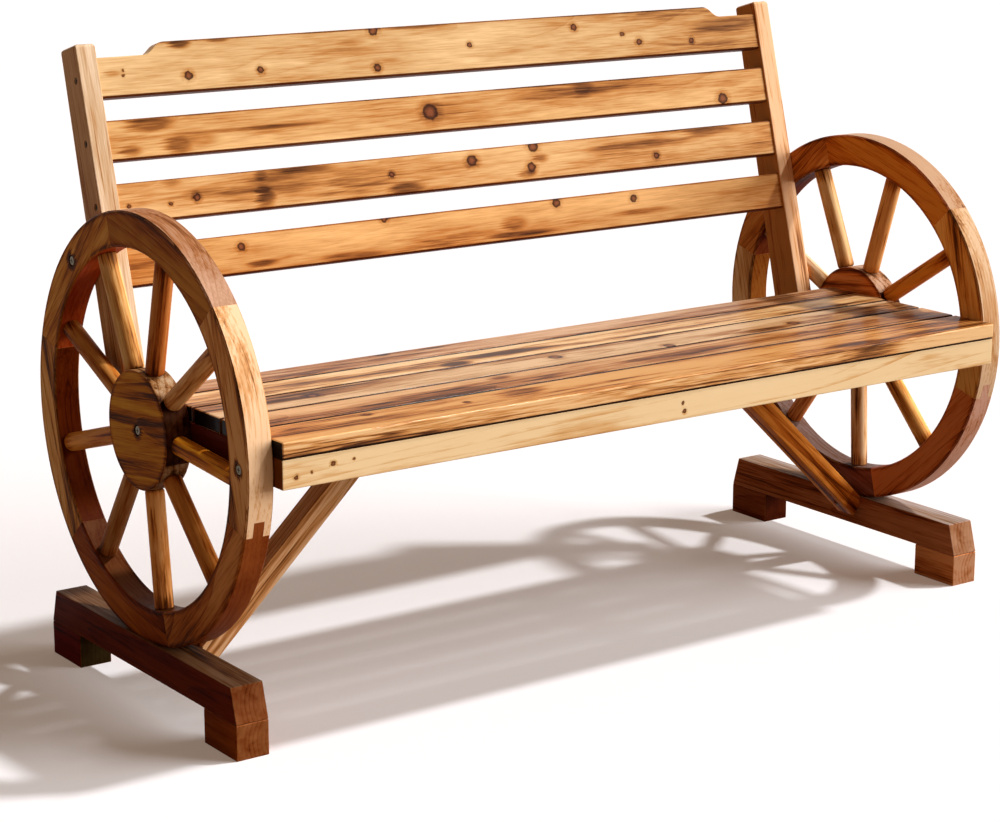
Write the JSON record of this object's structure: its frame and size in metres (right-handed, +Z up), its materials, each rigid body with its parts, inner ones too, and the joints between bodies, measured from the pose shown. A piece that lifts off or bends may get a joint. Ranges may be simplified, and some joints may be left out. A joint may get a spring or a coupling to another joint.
{
  "type": "wagon wheel bench",
  "caption": "Rustic wooden garden bench with slatted leaning back, plank seat and fixed spoked wagon wheels as its ends, standing on block feet.",
  "frame": {"origin": "on the floor under the middle of the bench's overall box", "axes": "+X along the bench to the sitter's left, -Y to the front where the sitter's legs are, +Z up"},
  "size_m": [1.268, 0.578, 0.8332],
  "materials": {
    "seat_plank_1": "glossy lacquer over scorched fir",
    "seat_plank_2": "glossy lacquer over scorched fir",
    "seat_plank_3": "glossy lacquer over scorched fir",
    "seat_plank_4": "glossy lacquer over scorched fir",
    "seat_plank_5": "glossy lacquer over scorched fir",
    "seat_front_apron": "satin lacquer over pale fir",
    "seat_rear_rail": "satin lacquer over fir",
    "left_side_rail": "satin lacquer over fir",
    "left_seat_batten": "satin lacquer over fir",
    "right_side_rail": "satin lacquer over fir",
    "right_seat_batten": "satin lacquer over fir",
    "left_back_post": "satin lacquer over scorched fir",
    "right_back_post": "satin lacquer over scorched fir",
    "back_slat_1": "satin lacquer over knotty scorched fir",
    "back_slat_2": "satin lacquer over knotty scorched fir",
    "back_slat_3": "satin lacquer over knotty scorched fir",
    "back_crest_slat": "satin lacquer over knotty scorched fir",
    "left_felloe_1": "satin lacquer over stained fir",
    "left_felloe_2": "satin lacquer over stained fir",
    "left_felloe_3": "satin lacquer over stained fir",
    "left_felloe_4": "satin lacquer over stained fir",
    "left_felloe_5": "satin lacquer over stained fir",
    "left_felloe_6": "satin lacquer over stained fir",
    "left_spoke_1": "satin lacquer over turned fir",
    "left_spoke_2": "satin lacquer over turned fir",
    "left_spoke_3": "satin lacquer over turned fir",
    "left_spoke_4": "satin lacquer over turned fir",
    "left_spoke_5": "satin lacquer over turned fir",
    "left_spoke_6": "satin lacquer over turned fir",
    "left_spoke_7": "satin lacquer over turned fir",
    "left_spoke_8": "satin lacquer over turned fir",
    "left_spoke_9": "satin lacquer over turned fir",
    "left_hub": "satin lacquer over scorched fir",
    "left_foot_beam": "satin lacquer over dark stained fir",
    "left_foot_block_front": "satin lacquer over dark stained fir",
    "left_foot_block_rear": "satin lacquer over dark stained fir",
    "left_brace": "satin lacquer over stained fir",
    "right_felloe_1": "satin lacquer over stained fir",
    "right_felloe_2": "satin lacquer over stained fir",
    "right_felloe_3": "satin lacquer over stained fir",
    "right_felloe_4": "satin lacquer over stained fir",
    "right_felloe_5": "satin lacquer over stained fir",
    "right_felloe_6": "satin lacquer over stained fir",
    "right_spoke_1": "satin lacquer over turned fir",
    "right_spoke_2": "satin lacquer over turned fir",
    "right_spoke_3": "satin lacquer over turned fir",
    "right_spoke_4": "satin lacquer over turned fir",
    "right_spoke_5": "satin lacquer over turned fir",
    "right_spoke_6": "satin lacquer over turned fir",
    "right_spoke_7": "satin lacquer over turned fir",
    "right_spoke_8": "satin lacquer over turned fir",
    "right_spoke_9": "satin lacquer over turned fir",
    "right_hub": "satin lacquer over scorched fir",
    "right_foot_beam": "satin lacquer over dark stained fir",
    "right_foot_block_front": "satin lacquer over dark stained fir",
    "right_foot_block_rear": "satin lacquer over dark stained fir",
    "right_brace": "satin lacquer over stained fir",
    "wheel_screws": "zinc plated",
    "frame_screws": "zinc plated",
    "frame_dowels": "raw turned beech"
  },
  "bodies": {
    "root": {"seat_plank_1": "seat_plank_1", "seat_plank_2": "seat_plank_2", "seat_plank_3": "seat_plank_3", "seat_plank_4": "seat_plank_4", "seat_plank_5": "seat_plank_5", "seat_front_apron": "seat_front_apron", "seat_rear_rail": "seat_rear_rail", "left_side_rail": "left_side_rail", "left_seat_batten": "left_seat_batten", "right_side_rail": "right_side_rail", "right_seat_batten": "right_seat_batten", "left_back_post": "left_back_post", "right_back_post": "right_back_post", "back_slat_1": "back_slat_1", "back_slat_2": "back_slat_2", "back_slat_3": "back_slat_3", "back_crest_slat": "back_crest_slat", "left_felloe_1": "left_felloe_1", "left_felloe_2": "left_felloe_2", "left_felloe_3": "left_felloe_3", "left_felloe_4": "left_felloe_4", "left_felloe_5": "left_felloe_5", "left_felloe_6": "left_felloe_6", "left_spoke_1": "left_spoke_1", "left_spoke_2": "left_spoke_2", "left_spoke_3": "left_spoke_3", "left_spoke_4": "left_spoke_4", "left_spoke_5": "left_spoke_5", "left_spoke_6": "left_spoke_6", "left_spoke_7": "left_spoke_7", "left_spoke_8": "left_spoke_8", "left_spoke_9": "left_spoke_9", "left_hub": "left_hub", "left_foot_beam": "left_foot_beam", "left_foot_block_front": "left_foot_block_front", "left_foot_block_rear": "left_foot_block_rear", "left_brace": "left_brace", "right_felloe_1": "right_felloe_1", "right_felloe_2": "right_felloe_2", "right_felloe_3": "right_felloe_3", "right_felloe_4": "right_felloe_4", "right_felloe_5": "right_felloe_5", "right_felloe_6": "right_felloe_6", "right_spoke_1": "right_spoke_1", "right_spoke_2": "right_spoke_2", "right_spoke_3": "right_spoke_3", "right_spoke_4": "right_spoke_4", "right_spoke_5": "right_spoke_5", "right_spoke_6": "right_spoke_6", "right_spoke_7": "right_spoke_7", "right_spoke_8": "right_spoke_8", "right_spoke_9": "right_spoke_9", "right_hub": "right_hub", "right_foot_beam": "right_foot_beam", "right_foot_block_front": "right_foot_block_front", "right_foot_block_rear": "right_foot_block_rear", "right_brace": "right_brace", "wheel_screws": "wheel_screws", "frame_screws": "frame_screws", "frame_dowels": "frame_dowels"}
  },
  "joints": []
}
